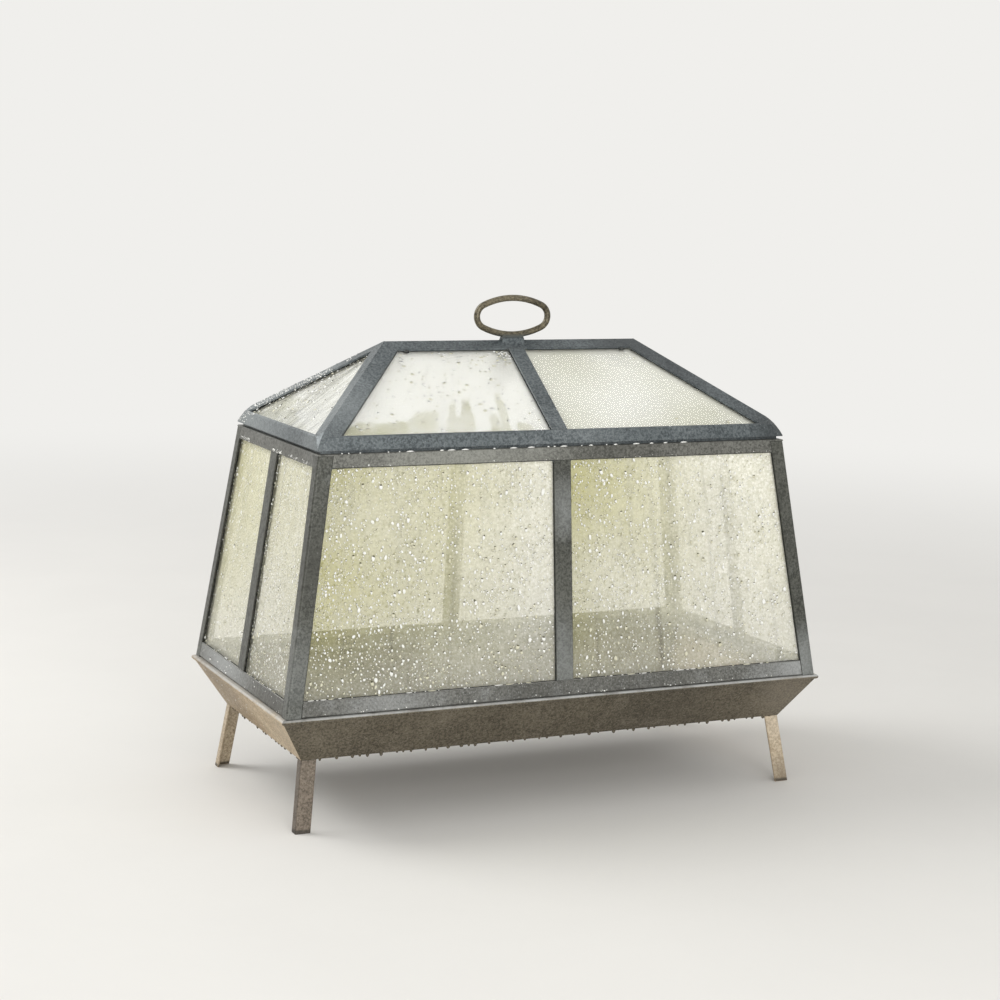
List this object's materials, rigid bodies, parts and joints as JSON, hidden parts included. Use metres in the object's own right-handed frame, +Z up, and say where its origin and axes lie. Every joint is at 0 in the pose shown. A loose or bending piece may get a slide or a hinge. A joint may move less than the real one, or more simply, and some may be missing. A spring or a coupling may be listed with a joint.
{
  "type": "tabletop greenhouse",
  "caption": "Tabletop glass greenhouse of aged galvanised metal: a glazed case tapering up from a splay-legged tray, under a loose hipped glass lid with a ring handle",
  "frame": {"origin": "on the ground under the middle of the part's bounding box", "axes": "+X runs along the ridge to the right, -Y faces the front, +Z is up"},
  "size_m": [0.568, 0.284, 0.486],
  "materials": {
    "tray_metal": "aged galvanised, stained and pitted",
    "housing_metal": "aged galvanised, stained, with a chalky bloom",
    "lid_metal": "aged galvanised, blue-grey and wet",
    "housing_glass": "clear, misted with droplets and run streaks",
    "lid_glass": "clear, heavily misted with run streaks"
  },
  "bodies": {
    "tray": {"tray_floor": "tray_metal", "tray_front_wall": "tray_metal", "tray_right_wall": "tray_metal", "tray_back_wall": "tray_metal", "tray_left_wall": "tray_metal", "leg_front_left": "tray_metal", "leg_front_right": "tray_metal", "leg_back_left": "tray_metal", "leg_back_right": "tray_metal"},
    "housing": {"post_front_left": "housing_metal", "post_front_right": "housing_metal", "post_back_left": "housing_metal", "post_back_right": "housing_metal", "top_rail_front": "housing_metal", "top_rail_right": "housing_metal", "top_rail_back": "housing_metal", "top_rail_left": "housing_metal", "bottom_rail_front": "housing_metal", "bottom_rail_right": "housing_metal", "bottom_rail_back": "housing_metal", "bottom_rail_left": "housing_metal", "mullion_front": "housing_metal", "mullion_right": "housing_metal", "mullion_back": "housing_metal", "mullion_left": "housing_metal", "glass_front": "housing_glass", "glass_right": "housing_glass", "glass_back": "housing_glass", "glass_left": "housing_glass"},
    "lid": {"ridge_bar": "lid_metal", "hip_front_left": "lid_metal", "hip_front_right": "lid_metal", "hip_back_left": "lid_metal", "hip_back_right": "lid_metal", "lid_bar_front": "lid_metal", "lid_bar_back": "lid_metal", "lid_glass_front": "lid_glass", "lid_glass_right": "lid_glass", "lid_glass_back": "lid_glass", "lid_glass_left": "lid_glass", "eave_front": "lid_metal", "eave_right": "lid_metal", "eave_back": "lid_metal", "eave_left": "lid_metal", "ring_handle": "lid_metal"}
  },
  "joints": [
    {"name": "housing_lift", "type": "slide", "parent": "tray", "child": "housing", "axis": [0, 0, 1], "range_m": [0, 0.3]},
    {"name": "lid_lift", "type": "slide", "parent": "housing", "child": "lid", "axis": [0, 0, 1], "range_m": [0, 0.15]}
  ]
}
